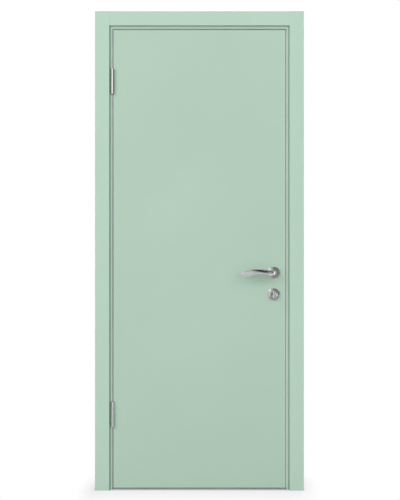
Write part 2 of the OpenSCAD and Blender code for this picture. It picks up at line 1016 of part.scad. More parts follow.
// The latch: a bevelled head, a stem over the follower and a hook behind its arm
module latch_bolt() {
  x0 = case_x1 - latch_guide;
  x1 = leaf_x + latch_throw;
  y0 = leaf_mid - latch_t / 2;
  color(metal) {
    translate([0, 0, lever_z + latch_up - latch_h / 2])
      linear_extrude(latch_h)
        polygon([
          [x0, y0], [x1, y0], [x1, y0 + latch_nose_t], [leaf_x + 1, y0 + latch_t], [x0, y0 + latch_t]
        ]);
    box([hook_x - hook_w, leaf_mid - arm_t / 2, lever_z + stem_z0],
        [x0 + over, leaf_mid + arm_t / 2, lever_z + stem_z1]);
    box([hook_x - hook_w, leaf_mid - arm_t / 2, lever_z + hook_z0],
        [hook_x, leaf_mid + arm_t / 2, lever_z + stem_z1]);
  }
}

// Joins rings of points into a closed solid with flat ends
module loft(rings) {
  sides = len(rings[0]);
  last = len(rings) - 1;
  points = [for (ring = rings) each ring];
  walls = [
    for (i = [0 : last - 1]) for (k = [0 : sides - 1])
      let (a = i * sides + k, b = i * sides + (k + 1) % sides)
        each [[a, a + sides, b], [b, a + sides, b + sides]]
  ];
  start = [for (k = [0 : sides - 1]) k];
  end = [for (k = [sides - 1 : -1 : 0]) last * sides + k];
  polyhedron(points, concat(walls, [start, end]));
}

// Centre of the spring's wire after a number of steps
function spring_at(i, pitch) = [
  spring_wire_r + pitch * i / spring_steps,
  spring_r * cos(360 * i / spring_steps),
  spring_r * sin(360 * i / spring_steps)
];

// One ring of points round the wire
function spring_ring(i, pitch) = [
  for (k = [0 : spring_sides - 1])
    let (turn = 360 * i / spring_steps, a = -360 * k / spring_sides, r = spring_wire_r * cos(a))
      spring_at(i, pitch) + [spring_wire_r * sin(a), r * cos(turn), r * sin(turn)]
];

module latch_spring() {
  x0 = case_x0 + case_wall + run_fit;
  room = hook_x - hook_w - run_fit - x0;
  pitch = (room - 2 * spring_wire_r) / spring_turns;
  color(bright)
    translate([x0, leaf_mid, lever_z + latch_up])
      loft([for (i = [0 : spring_turns * spring_steps]) spring_ring(i, pitch)]);
}

// The privacy follower: a disc with a crank pin, resting 45 degrees short of upright
module wc_follower() {
  crank_x = spindle_x - crank_r * sin(45);
  crank_z = wc_z + crank_r * cos(45);
  back = leaf_mid - case_in_t / 2 + pass_gap;
  front = leaf_mid - pass_gap;
  color(bright)
    difference() {
      union() {
        translate([spindle_x, front, wc_z]) rotate([90, 0, 0]) cylinder(r = wc_disc_r, h = front - back);
        translate([crank_x, front, crank_z]) rotate([90, 0, 0]) cylinder(r = crank_end_r, h = front - back);
        translate([crank_x, leaf_mid + bolt_t / 2, crank_z])
          rotate([90, 0, 0]) cylinder(r = crank_pin_r, h = leaf_mid + bolt_t / 2 - back);
        translate([spindle_x, leaf_mid, wc_z])
          rotate([90, 0, 0]) cylinder(r = wc_boss_r, h = case_t, center = true);
      }
      cross_bar(wc_z, wc_spindle_w + 2 * run_fit, leaf_t);
    }
}

// The privacy bolt, drawn back, with a notch in its tail for the crank pin
module deadbolt() {
  crank_x = spindle_x - crank_r * sin(45);
  notch = crank_pin_r + crank_play;
  color(metal)
    difference() {
      union() {
        box([bolt_x0, leaf_mid - bolt_t / 2, bolt_z0], [leaf_x, leaf_mid + bolt_t / 2, bolt_z1]);
        box([spindle_x - bolt_tail_x, leaf_mid + pass_gap, wc_z + bolt_tail_z],
            [bolt_x0 + over, leaf_mid + bolt_t / 2, bolt_z1]);
      }
      box([crank_x - notch, leaf_mid, wc_z], [crank_x + notch, leaf_mid + bolt_t, wc_z + crank_r + notch]);
    }
}

// Roses and handles

// A plain disc with a bearing collar, a hole for the neck and two bolt holes
module rose_base(hole_r, bolt_r) {
  color(dark)
    difference() {
      union() {
        cylinder(r = base_r, h = base_t);
        cylinder(r = base_collar_r, h = base_collar_h);
      }
      translate([0, 0, -over]) cylinder(r = hole_r + run_fit, h = rose_h);
      for (s = [-1, 1]) translate([s * rose_bolt_x, 0, -over]) cylinder(r = bolt_r, h = base_t + 2 * over);
    }
}

// A turned cup with a bevelled rim
module rose_cover(hole_r) {
  inner_r = rose_r - rose_wall;
  color(bright)
    rotate_extrude()
      polygon([
        [inner_r, 0], [rose_r, 0], [rose_r, rose_h - rose_bevel], [rose_r - rose_bevel, rose_h],
        [hole_r + pass_gap, rose_h], [hole_r + pass_gap, rose_h - rose_wall],
        [inner_r - rose_bevel / 2, rose_h - rose_wall], [inner_r, rose_h - rose_wall - rose_bevel / 2]
      ]);
}

module front_lever_rose_base() {
  on_front(lever_z) rose_base(neck_r, rose_bolt_r + run_fit);
}

module front_lever_rose_cover() {
  on_front(lever_z) rose_cover(neck_r);
}

module rear_lever_rose_base() {
  on_rear(lever_z) rose_base(neck_r, rose_bolt_r + run_fit);
}

module rear_lever_rose_cover() {
  on_rear(lever_z) rose_cover(neck_r);
}

module front_wc_rose_base() {
  on_front(wc_z) rose_base(wc_neck_r, rose_bolt_r + run_fit);
}

module front_wc_rose_cover() {
  on_front(wc_z) rose_cover(wc_neck_r);
}

module rear_wc_rose_base() {
  on_rear(wc_z) rose_base(wc_neck_r, rose_bolt_r + run_fit);
}

module rear_wc_rose_cover() {
  on_rear(wc_z) rose_cover(wc_neck_r);
}

// Bolts from the rear bases through the leaf into the front ones
module rose_bolts() {
  color(metal)
    for (z = [lever_z, wc_z], s = [-1, 1])
      on_rear(z)
        translate([s * rose_bolt_x, 0, 0]) {
          translate([0, 0, -leaf_t - base_t]) cylinder(r = rose_bolt_r, h = leaf_t + 2 * base_t);
          translate([0, 0, base_t]) cylinder(r = rose_bolt_head_r, h = rose_bolt_head_h);
        }
}

function cubic(a, b, c, d, t) =
  0.5 * (2 * b + (c - a) * t + (2 * a - 5 * b + 4 * c - d) * t * t + (3 * b - a - 3 * c + d) * t * t * t);

function station(i) = lever_stations[max(0, min(len(lever_stations) - 1, i))];

function section_at(i, t) = cubic(station(i - 1), station(i), station(i + 1), station(i + 2), t);

// Points round one section of the lever, in its own X, up and out
function lever_ring(s, shrink = 1) = [
  for (k = [0 : lever_sides - 1])
    let (
      a = 360 * k / lever_sides,
      power = 2 / s[6],
      p = shrink * s[4] * sign(cos(a)) * pow(abs(cos(a)), power),
      q = shrink * s[5] * sign(sin(a)) * pow(abs(sin(a)), power),
      across = p * cos(s[7]) - q * sin(s[7]),
      up = p * sin(s[7]) + q * cos(s[7])
    )
      [across * cos(s[3]) - s[0], s[2] + up, s[1] + across * sin(s[3])]
];

// The lever: a round root that bends off sideways into an arched, twisted blade
module lever() {
  spans = len(lever_stations) - 1;
  tip = station(spans);
  sections = [
    for (i = [0 : spans - 1]) for (j = [0 : lever_steps - 1]) section_at(i, j / lever_steps)
  ];
  tip_shrink = 1 - tip_round / tip[4] * 0.6;
  color(bright)
    difference() {
      union() {
        translate([0, 0, over]) cylinder(r = neck_r, h = rose_h + 2);
        loft(concat(
          [for (s = sections) lever_ring(s)],
          [lever_ring(tip), lever_ring(tip + [tip_round, 0, 0, 0, 0, 0, 0, 0], tip_shrink)]
        ));
      }
      translate([-spindle_w / 2 - run_fit, -spindle_w / 2 - run_fit, 0])
        cube([spindle_w + 2 * run_fit, spindle_w + 2 * run_fit, socket_end + pass_gap]);
      translate([0, -hub_r - over, grub_out]) rotate([-90, 0, 0]) cylinder(r = grub_r + run_fit, h = hub_r);
    }
}

module front_lever() {
  on_front(lever_z) lever();
}

module rear_lever() {
  on_rear(lever_z) lever();
}

module spindle() {
  color(metal) cross_bar(lever_z, spindle_w, leaf_t + 2 * socket_end);
}

module grub_screw() {
  length = hub_r - spindle_w / 2 - 3;
  translate([0, -spindle_w / 2 - length, grub_out]) rotate([-90, 0, 0]) cylinder(r = grub_r, h = length);
}

module lever_grub_screws() {
  color(dark) {
    on_front(lever_z) grub_screw();
    on_rear(lever_z) grub_screw();
  }
}

// The privacy turn: a neck and disc with a grip that is pinched at its waist, and its own square bar
module thumb_turn() {
  bar_end = leaf_t + rose_h - 2;
  grip_z = rose_h + pass_gap + turn_disc_t;
  pinch_r = (pinch_h * pinch_h / 4 + pinch_d * pinch_d) / (2 * pinch_d);
  color(bright)
    on_front(wc_z) {
      translate([0, 0, over]) cylinder(r = wc_neck_r, h = rose_h + 1);
      translate([0, 0, rose_h + pass_gap]) cylinder(r = turn_disc_r, h = turn_disc_t);
      translate([0, 0, grip_z - over])
        difference() {
          linear_extrude(grip_reach + over) stadium(grip_w, grip_h);
          for (s = [-1, 1])
            translate([s * (grip_w / 2 - pinch_d + pinch_r), 0, over + pinch_foot])
              cylinder(r = pinch_r, h = grip_reach + over, $fn = 96);
        }
      translate([-wc_spindle_w / 2, -wc_spindle_w / 2, -bar_end])
        cube([wc_spindle_w, wc_spindle_w, bar_end + rose_h]);
    }
}

// The coin slot that frees the privacy bolt from the far side
module emergency_release() {
  color(bright)
    on_rear(wc_z)
      difference() {
        union() {
          translate([0, 0, over]) cylinder(r = wc_neck_r, h = rose_h + 1);
          translate([0, 0, rose_h + pass_gap]) cylinder(r = release_r, h = release_t);
        }
        translate([-slot_w / 2, -release_r + 2, rose_h + pass_gap + release_t - slot_d])
          cube([slot_w, 2 * release_r - 4, slot_d + over]);
        translate([-wc_spindle_w / 2 - run_fit, -wc_spindle_w / 2 - run_fit, 0])
          cube([wc_spindle_w + 2 * run_fit, wc_spindle_w + 2 * run_fit, rose_h - 2 + pass_gap]);
      }
}

hinge_jamb();
strike_jamb();
head_jamb();
front_casing_left();
front_casing_right();
front_casing_head();
rear_casing_left();
rear_casing_right();
rear_casing_head();
seal_hinge_side();
seal_strike_side();
seal_head();
strike_plate();
strike_box();
strike_screws();
upper_hinge_frame_plate();
lower_hinge_frame_plate();
upper_hinge_pin();
lower_hinge_pin();
hinge_frame_screws();
leaf_front_skin();
leaf_rear_skin();
hinge_stile();
lock_stile();
lock_block();
top_rail();
bottom_rail();
leaf_core();
edge_hinge_side();
edge_lock_side();
edge_top();
edge_bottom();
upper_hinge_leaf_plate();
lower_hinge_leaf_plate();
hinge_rings();
hinge_leaf_screws();
lock_case();
lock_cover();
lock_forend();
forend_screws();
front_lever_rose_base();
front_lever_rose_cover();
rear_lever_rose_base();
rear_lever_rose_cover();
front_wc_rose_base();
front_wc_rose_cover();
rear_wc_rose_base();
rear_wc_rose_cover();
rose_bolts();
latch_spring();
front_lever();
rear_lever();
spindle();
lever_grub_screws();
follower();
latch_bolt();
thumb_turn();
emergency_release();
wc_follower();
deadbolt();
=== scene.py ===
import json
import math

import bmesh
import bpy
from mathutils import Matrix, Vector


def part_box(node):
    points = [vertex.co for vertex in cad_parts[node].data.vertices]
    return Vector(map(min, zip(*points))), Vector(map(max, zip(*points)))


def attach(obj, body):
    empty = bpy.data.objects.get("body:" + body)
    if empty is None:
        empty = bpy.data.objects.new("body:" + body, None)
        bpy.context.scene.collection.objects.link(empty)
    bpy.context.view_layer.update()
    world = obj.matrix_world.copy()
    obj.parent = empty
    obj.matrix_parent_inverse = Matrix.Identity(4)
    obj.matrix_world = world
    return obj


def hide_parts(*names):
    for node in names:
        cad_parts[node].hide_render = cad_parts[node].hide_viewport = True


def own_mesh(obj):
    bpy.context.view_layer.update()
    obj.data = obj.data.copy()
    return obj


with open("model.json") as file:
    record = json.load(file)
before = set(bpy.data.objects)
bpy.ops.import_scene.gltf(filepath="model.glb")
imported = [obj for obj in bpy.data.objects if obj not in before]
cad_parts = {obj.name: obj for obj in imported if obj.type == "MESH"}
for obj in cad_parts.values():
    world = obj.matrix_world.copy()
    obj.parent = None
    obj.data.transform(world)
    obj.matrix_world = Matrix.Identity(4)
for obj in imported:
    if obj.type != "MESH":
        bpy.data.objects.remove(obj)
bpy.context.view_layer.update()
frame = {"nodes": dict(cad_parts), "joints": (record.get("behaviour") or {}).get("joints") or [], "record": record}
cad = frame["nodes"]
MM = 0.001

# Nodes and materials


def linear(red, green, blue):
    """A colour given as screen values from 0 to 255, as the shaders take it."""
    def one(value):
        value /= 255
        return value / 12.92 if value <= 0.04045 else ((value + 0.055) / 1.055) ** 2.4
    return (one(red), one(green), one(blue), 1)


def grey(level):
    """A grey of one screen value."""
    return linear(level, level, level)


def add(tree, kind, inputs=None, **options):
    """A new node with its options set and its inputs filled with values or linked."""
    made = tree.nodes.new(kind)
    for name, value in options.items():
        setattr(made, name, value)
    for name, value in (inputs or {}).items():
        if isinstance(value, bpy.types.NodeSocket):
            tree.links.new(value, made.inputs[name])
        else:
            made.inputs[name].default_value = value
    return made


def object_place(tree):
    """The place on the piece, in its own coordinates."""
    return add(tree, "ShaderNodeTexCoord").outputs["Object"]


def parts_of(tree, vector):
    """X, Y and Z of a vector."""
    return add(tree, "ShaderNodeSeparateXYZ", {0: vector}).outputs


def math_node(tree, operation, a, b=0.0):
    return add(tree, "ShaderNodeMath", {0: a, 1: b}, operation=operation).outputs[0]


def plus(tree, a, b):
    return math_node(tree, "ADD", a, b)


def times(tree, first, *others):
    for other in others:
        first = math_node(tree, "MULTIPLY", first, other)
    return first


def vector_node(tree, operation, a, b=None, output="Vector"):
    inputs = {0: a} if b is None else {0: a, 1: b}
    return add(tree, "ShaderNodeVectorMath", inputs, operation=operation).outputs[output]


def between(tree, value, low, high, to_low=0.0, to_high=1.0):
    """Maps a value from one range to another and keeps it inside."""
    made = add(tree, "ShaderNodeMapRange", {"Value": value, "From Min": low, "From Max": high,
                                            "To Min": to_low, "To Max": to_high})
    return made.outputs["Result"]


def mixed(tree, factor, a, b):
    """The first colour where the factor is 0, the second where it is 1."""
    made = add(tree, "ShaderNodeMix", {0: factor, 6: a, 7: b}, data_type="RGBA")
    return made.outputs[2]


def noise(tree, vector, scale, detail=2.0, rough=0.5):
    made = add(tree, "ShaderNodeTexNoise",
               {"Vector": vector, "Scale": scale, "Detail": detail, "Roughness": rough})
    return made.outputs["Fac"]


def shader_group(name, inputs, outputs):
    """An empty group with the given sockets, and its inner ends."""
    tree = bpy.data.node_groups.new(name, "ShaderNodeTree")
    for label, kind, value in inputs:
        socket = tree.interface.new_socket(label, in_out="INPUT", socket_type="NodeSocket" + kind)
        socket.default_value = value
    for label, kind in outputs:
        tree.interface.new_socket(label, in_out="OUTPUT", socket_type="NodeSocket" + kind)
    return tree, tree.nodes.new("NodeGroupInput").outputs, tree.nodes.new("NodeGroupOutput").inputs


SURFACE = [("Colour", "Color"), ("Roughness", "Float"), ("Height", "Float")]


def paint_film_group():
    """Sprayed paint: broad clouds of tone, a fine peel and a sheen that varies a little."""
    tree, given, out = shader_group("paint film", [
        ("Vector", "Vector", (0, 0, 0)),
        ("Colour", "Color", grey(200)), ("Second Colour", "Color", grey(190)),
        ("Roughness", "Float", 0.4), ("Peel Size", "Float", 700.0)], SURFACE)
    cloud = noise(tree, given["Vector"], 2.2, 3.0)
    fleck = noise(tree, given["Vector"], 60.0, 4.0)
    tone = plus(tree, between(tree, cloud, 0.3, 0.7, 0.0, 0.8), between(tree, fleck, 0.3, 0.7, 0.0, 0.2))
    peel = noise(tree, given["Vector"], given["Peel Size"], 1.0)
    wear = between(tree, noise(tree, given["Vector"], 14.0, 3.0), 0.3, 0.7, -0.04, 0.04)
    tree.links.new(mixed(tree, tone, given["Colour"], given["Second Colour"]), out["Colour"])
    tree.links.new(plus(tree, given["Roughness"], wear), out["Roughness"])
    tree.links.new(peel, out["Height"])
    return tree


def metal_skin_group():
    """Metal with fine lines and faint handling marks. Lines is the place, stretched along the lines."""
    tree, given, out = shader_group("metal skin", [
        ("Vector", "Vector", (0, 0, 0)), ("Lines", "Vector", (0, 0, 0)),
        ("Colour", "Color", grey(200)), ("Second Colour", "Color", grey(180)),
        ("Roughness", "Float", 0.3), ("Spread", "Float", 0.1)], SURFACE)
    lines = noise(tree, given["Lines"], 1.0, 6.0, 0.7)
    marks = noise(tree, given["Vector"], 55.0, 4.0)
    tone = plus(tree, between(tree, lines, 0.25, 0.75, 0.0, 0.6), between(tree, marks, 0.3, 0.7, 0.0, 0.4))
    sheen = between(tree, tone, 0.0, 1.0, -0.5, 0.5)
    rough = plus(tree, given["Roughness"], times(tree, sheen, given["Spread"]))
    tree.links.new(mixed(tree, tone, given["Colour"], given["Second Colour"]), out["Colour"])
    tree.links.new(rough, out["Roughness"])
    tree.links.new(lines, out["Height"])
    return tree


def grain_group():
    """Fine grains of two tones, for rubber, board and moulded plastic."""
    tree, given, out = shader_group("fine grain", [
        ("Vector", "Vector", (0, 0, 0)), ("Colour", "Color", grey(60)), ("Second Colour", "Color", grey(40)),
        ("Roughness", "Float", 0.6), ("Grain Size", "Float", 600.0)], SURFACE)
    cells = add(tree, "ShaderNodeTexVoronoi", {"Vector": given["Vector"], "Scale": given["Grain Size"]})
    cloud = noise(tree, given["Vector"], 9.0, 3.0)
    tone = times(tree, cells.outputs["Distance"], between(tree, cloud, 0.2, 0.8, 0.5, 1.2))
    wear = between(tree, cloud, 0.3, 0.7, -0.05, 0.05)
    tree.links.new(mixed(tree, tone, given["Colour"], given["Second Colour"]), out["Colour"])
    tree.links.new(plus(tree, given["Roughness"], wear), out["Roughness"])
    tree.links.new(cells.outputs["Distance"], out["Height"])
    return tree


PAINT_FILM = paint_film_group()
METAL_SKIN = metal_skin_group()
FINE_GRAIN = grain_group()


def stretched(tree, place, scale):
    """The place scaled along each axis, for patterns that run one way."""
    return add(tree, "ShaderNodeMapping", {"Vector": place, "Scale": scale}).outputs["Vector"]


def surface_material(name, group, inputs, bump, depth, lines=None, **shader):
    """A material whose colour, roughness and bump come from one of the shared groups."""
    made = bpy.data.materials.new(name)
    made.use_nodes = True
    tree = made.node_tree
    place = object_place(tree)
    filled = dict(inputs, Vector=place)
    if lines:
        filled["Lines"] = stretched(tree, place, lines)
    skin = add(tree, "ShaderNodeGroup", filled, node_tree=group)
    relief = add(tree, "ShaderNodeBump",
                 {"Height": skin.outputs["Height"], "Strength": bump, "Distance": depth})
    bsdf = tree.nodes["Principled BSDF"]
    tree.links.new(skin.outputs["Colour"], bsdf.inputs["Base Color"])
    tree.links.new(skin.outputs["Roughness"], bsdf.inputs["Roughness"])
    tree.links.new(relief.outputs["Normal"], bsdf.inputs["Normal"])
    for label, value in shader.items():
        bsdf.inputs[label.replace("_", " ")].default_value = value
    return made


def paint(name, colour, second):
    """Matt sprayed paint."""
    return surface_material(name, PAINT_FILM, {"Colour": colour, "Second Colour": second, "Roughness": 0.78},
                            0.06, 0.0004, Specular_IOR_Level=0.1)


def metal(name, colour, second, roughness, spread, lines, bump=0.05, metallic=1.0):
    """Metal whose lines run along the axis with the smallest scale."""
    return surface_material(name, METAL_SKIN, {"Colour": colour, "Second Colour": second,
                                               "Roughness": roughness, "Spread": spread},
                            bump, 0.0002, lines, Metallic=metallic)


def with_painted_shade(material, mask, colour):
    """Lays a shade colour over a material's own where the mask is 1: painted shade."""
    tree = material.node_tree
    base = tree.nodes["Principled BSDF"].inputs["Base Color"]
    tree.links.new(mixed(tree, mask, base.links[0].from_socket, colour), base)
    return material


GROOVE_W = 0.0027
GROOVE_BLUR = 0.0001


def edge_metal(name, tones, lines):
    """Satin metal of the leaf's edge, with painted shade in the groove beside the skins."""
    made = metal(name, *tones, 0.45, 0.16, lines, metallic=0.4)
    tree = made.node_tree
    low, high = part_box("leaf_front_skin")
    from_middle = vector_node(tree, "SUBTRACT", object_place(tree), (low + high) / 2)
    past = parts_of(tree, vector_node(tree, "SUBTRACT", vector_node(tree, "ABSOLUTE", from_middle),
                                      (high - low) / 2))
    past_skin = math_node(tree, "MAXIMUM", past["X"], past["Z"])
    # Painted shade: the groove beside the skins is coloured dark grey
    return with_painted_shade(made, between(tree, past_skin, GROOVE_W, GROOVE_W + GROOVE_BLUR, 1.0, 0.0), grey(66))


FRAME_PAINT = (linear(194, 221, 203), linear(190, 217, 199))
# Distances from the door's middle at which the painted shade in the corner beside the casings starts and is full,
# from either side
CORNER_SHADE_INNER = (0.3935, 0.3955)
CORNER_SHADE_OUTER = (0.400, 0.399)


def jamb_paint_with_shade():
    """Frame paint of the jambs, with painted shade along the corner beside the casings."""
    made = paint("jamb paint with painted shade", *FRAME_PAINT)
    tree = made.node_tree
    across = math_node(tree, "ABSOLUTE", parts_of(tree, object_place(tree))["X"])
    # Mask of the painted shade in the corner beside the casings, laid on in a darker green
    joint = times(tree, between(tree, across, *CORNER_SHADE_INNER), between(tree, across, *CORNER_SHADE_OUTER))
    return with_painted_shade(made, joint, linear(140, 167, 149))


def grained(name, colour, second, roughness, size, bump=0.3, depth=0.0004):
    """Rubber, board or plastic with fine grains."""
    return surface_material(name, FINE_GRAIN, {"Colour": colour, "Second Colour": second,
                                               "Roughness": roughness, "Grain Size": size}, bump, depth)


def timber_material():
    """Planed softwood with its growth rings running up the piece."""
    made = bpy.data.materials.new("inner timber")
    made.use_nodes = True
    tree = made.node_tree
    place = object_place(tree)
    rings = add(tree, "ShaderNodeTexWave",
                {"Vector": stretched(tree, place, (60, 60, 4)), "Scale": 0.6, "Distortion": 5.0,
                 "Detail": 3.0, "Detail Scale": 1.4}, bands_direction="X").outputs["Fac"]
    fibre = noise(tree, stretched(tree, place, (900, 900, 20)), 1.0, 4.0)
    tone = plus(tree, times(tree, rings, 0.7), times(tree, fibre, 0.3))
    relief = add(tree, "ShaderNodeBump", {"Height": fibre, "Strength": 0.2, "Distance": 0.0003})
    bsdf = tree.nodes["Principled BSDF"]
    tree.links.new(mixed(tree, tone, linear(214, 180, 132), linear(186, 142, 92)), bsdf.inputs["Base Color"])
    tree.links.new(between(tree, tone, 0.0, 1.0, 0.62, 0.5), bsdf.inputs["Roughness"])
    tree.links.new(relief.outputs["Normal"], bsdf.inputs["Normal"])
    return made


# Stretch of the lines in metal that runs up, across or neither way
UPRIGHT = (700, 700, 14)
ACROSS = (14, 700, 700)
ROUND = (300, 300, 300)

finishes = {
    "painted_frame": paint("painted frame", *FRAME_PAINT),
    "painted_leaf": paint("painted leaf", linear(188, 214, 196), linear(184, 210, 192)),
    "seal_rubber": grained("seal rubber", linear(122, 130, 125), linear(104, 112, 107), 0.7, 900.0),
    "inner_timber": timber_material(),
    "core_board": grained("core board", linear(188, 154, 108), linear(136, 102, 64), 0.85, 260.0, 0.6, 0.001),
    "edge_aluminium": edge_metal("edge aluminium", (grey(250), grey(240)), UPRIGHT),
    "hinge_steel": metal("hinge steel", linear(188, 188, 186), linear(172, 172, 171), 0.16, 0.08, UPRIGHT),
    "handle_chrome": metal("handle chrome", linear(205, 204, 205), linear(196, 196, 198), 0.07, 0.04, ROUND,
                           bump=0.01),
    "lock_steel": metal("lock steel", linear(198, 198, 200), linear(168, 168, 172), 0.38, 0.2, UPRIGHT,
                        metallic=0.5),
    "dark_plastic": grained("dark plastic", linear(46, 46, 48), linear(34, 34, 36), 0.55, 1500.0),
}
jamb_with_painted_shade = jamb_paint_with_shade()
own_finishes = {
    "hinge_jamb": jamb_with_painted_shade,
    "strike_jamb": jamb_with_painted_shade,
    # The hinge side, top and bottom strips get darker copies of the edge metal: painted shade set by side, most on
    # the top and hinge side, least at the bottom
    "edge_hinge_side": edge_metal("edge aluminium hinge side painted shade", (grey(196), grey(184)), UPRIGHT),
    "edge_top": edge_metal("edge aluminium top painted shade", (grey(192), grey(182)), ACROSS),
    "edge_bottom": edge_metal("edge aluminium bottom painted shade", (grey(225), grey(212)), ACROSS),
}

SLOT_OF = {row["node"]: row["material_slot"] for row in frame["record"]["subparts"]}
for node, slot in SLOT_OF.items():
    cad[node].data.materials[0] = own_finishes.get(node, finishes[slot])

# Places read from the CAD


def pivot(joint):
    """The place of a joint's axis."""
    return Vector(next(row["pos_m"] for row in frame["joints"] if row["name"] == joint))


FACE_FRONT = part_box("leaf_front_skin")[0].y
FACE_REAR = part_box("leaf_rear_skin")[1].y
LEVER_AXIS = pivot("lever_turn")
TURN_AXIS = pivot("privacy_turn")


def on_face(axis, front):
    """A function that turns across, up and out in millimetres into a place on one face of the leaf."""
    face, way = (FACE_FRONT, -1) if front else (FACE_REAR, 1)

    def place(across, up, out):
        return Vector((axis.x + across * MM, face + way * out * MM, axis.z + up * MM))
    return place


# Mesh makers


def shaded(mesh, angle=35.0):
    """Smooth faces with sharp edges kept where the surface turns by more than an angle."""
    work = bmesh.new()
    work.from_mesh(mesh)
    bmesh.ops.remove_doubles(work, verts=work.verts, dist=1e-6)
    bmesh.ops.recalc_face_normals(work, faces=work.faces)
    for face in work.faces:
        face.smooth = True
    work.to_mesh(mesh)
    work.free()
    mesh.set_sharp_from_angle(angle=math.radians(angle))
    return mesh


def join_rings(work, rings, cap_start=True, cap_end=True):
    """Adds a skin over closed rings of points that all have as many points."""
    rows = [[work.verts.new(point) for point in ring] for ring in rings]
    for low, high in zip(rows, rows[1:]):
        for k in range(len(low)):
            n = (k + 1) % len(low)
            work.faces.new((low[k], low[n], high[n], high[k]))
    if cap_start:
        work.faces.new(rows[0])
    if cap_end:
        work.faces.new(rows[-1])


def circle(sides):
    """Angles round a full turn."""
    return [2 * math.pi * k / sides for k in range(sides)]


def quarter(steps, first=0):
    """Angles of a quarter turn, with both ends."""
    return [math.pi / 2 * k / steps for k in range(first, steps + 1)]


def lathe_rings(place, profile, sides=96):
    """Rings of a turned piece from pairs of radius and distance out."""
    return [[place(r * math.cos(t), r * math.sin(t), out) for t in circle(sides)] for r, out in profile]


def rounded(points, radius, steps=4):
    """An open outline with each inner corner replaced by an arc."""
    made = [points[0]]
    for before, corner, after in zip(points, points[1:], points[2:]):
        b, c, a = Vector(before), Vector(corner), Vector(after)
        reach = min(radius, (b - c).length * 0.45, (a - c).length * 0.45)
        start, end = c + (b - c).normalized() * reach, c + (a - c).normalized() * reach
        for k in range(steps + 1):
            t = k / steps
            made.append(tuple((1 - t) ** 2 * start + 2 * t * (1 - t) * c + t * t * end))
    made.append(points[-1])
    return made


def as_object(name, work):
    """A new object from a worked mesh."""
    mesh = bpy.data.meshes.new(name)
    work.to_mesh(mesh)
    work.free()
    made = bpy.data.objects.new(name, mesh)
    bpy.context.scene.collection.objects.link(made)
    return made


def settle(obj, change):
    """Turns an object with a modifier into a plain mesh."""
    bpy.context.view_layer.update()
    mesh = bpy.data.meshes.new_from_object(obj.evaluated_get(bpy.context.evaluated_depsgraph_get()))
    obj.modifiers.remove(change)
    obj.data = mesh


def cut_away(obj, cutter):
    """Takes the cutter's solid out of an object and leaves a plain mesh."""
    change = obj.modifiers.new("cut", "BOOLEAN")
    change.operation = "DIFFERENCE"
    change.solver = "EXACT"
    change.object = cutter
    settle(obj, change)
    bpy.data.objects.remove(cutter)


def finished(obj, body, slot, *replaced, angle=35.0):
    """Gives a made piece its finish and its place in the frame."""
    shaded(obj.data, angle)
    obj.data.materials.clear()
    obj.data.materials.append(finishes[slot])
    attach(obj, body)
    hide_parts(*replaced)
    return obj


# Levers

ROSE_H = 9.0
HUB_R = 13.0
NECK_R = 8.5
LEVER_LEN = 145.0
BLADE_H = 24.0
BLADE_NECK_H = 21.0
BLADE_T = 8.5
BLADE_RISE = 7.0
BLADE_DROOP = 5.5
BEND_R = 24.0
TIP_ROUND = 1.6
BLADE_OUT = 60.0 - BLADE_T / 2 - 2.3
BEND_OUT = BLADE_OUT - BEND_R
GRUB_R = 2.55
GRUB_OUT = ROSE_H + 7
GRUB_DEPTH = (-HUB_R - 3, -7.0)
LEVER_SIDES = 56
# Millimetres by which a turned neck starts clear of the leaf's face
FACE_CLEAR = 0.5


def bend(angle):
    """How far along and out the lever's middle line is when it has turned by an angle."""
    turn = math.radians(angle)
    return BEND_R * (1 - math.cos(turn)), BEND_OUT + BEND_R * math.sin(turn)


# Along, out, up, heading, half thickness, half height, squareness and roll of each section
LEVER_STATIONS = [
    (0, ROSE_H + 0.4, 0, 0, HUB_R, HUB_R, 2, 0),
    (0, BEND_OUT, 0, 0, HUB_R - 1.2, HUB_R - 1.2, 2, 0),
    (*bend(30), 0, 30, HUB_R - 2, HUB_R - 1.6, 2, 0),
    (*bend(60), 1, 60, HUB_R - 3.6, HUB_R - 2, 2.1, 4),
    (*bend(90), 2.2, 90, BLADE_T * 0.72, BLADE_NECK_H / 2 + 0.4, 2.3, 10),
    (LEVER_LEN * 0.27, BLADE_OUT, BLADE_RISE * 0.65, 90, BLADE_T * 0.6, BLADE_NECK_H / 2, 2.5, 20),
    (LEVER_LEN * 0.4, BLADE_OUT, BLADE_RISE, 90, BLADE_T * 0.54, BLADE_H * 0.44, 2.7, 22),
    (LEVER_LEN * 0.66, BLADE_OUT, BLADE_RISE * 0.55, 91, BLADE_T * 0.48, BLADE_H / 2, 3, 8),
    (LEVER_LEN * 0.88, BLADE_OUT - 2, -BLADE_DROOP * 0.45, 95, BLADE_T * 0.44, BLADE_H * 0.48, 3.2, 0),
    (LEVER_LEN - TIP_ROUND, BLADE_OUT - 4, -BLADE_DROOP, 97, BLADE_T * 0.42, BLADE_H * 0.46, 3.4, 0),
]


def cubic(a, b, c, d, t):
    """A smooth step from b to c, led by the rows before and after."""
    return [0.5 * (2 * q + (r - p) * t + (2 * p - 5 * q + 4 * r - s) * t * t
                   + (3 * q - p - 3 * r + s) * t ** 3) for p, q, r, s in zip(a, b, c, d)]


def lever_sections(steps):
    """The stations with smooth steps put in between."""
    last = len(LEVER_STATIONS) - 1

    def station(i):
        return LEVER_STATIONS[max(0, min(last, i))]
    for i in range(last):
        for j in range(steps):
            yield cubic(station(i - 1), station(i), station(i + 1), station(i + 2), j / steps)
    yield list(station(last))


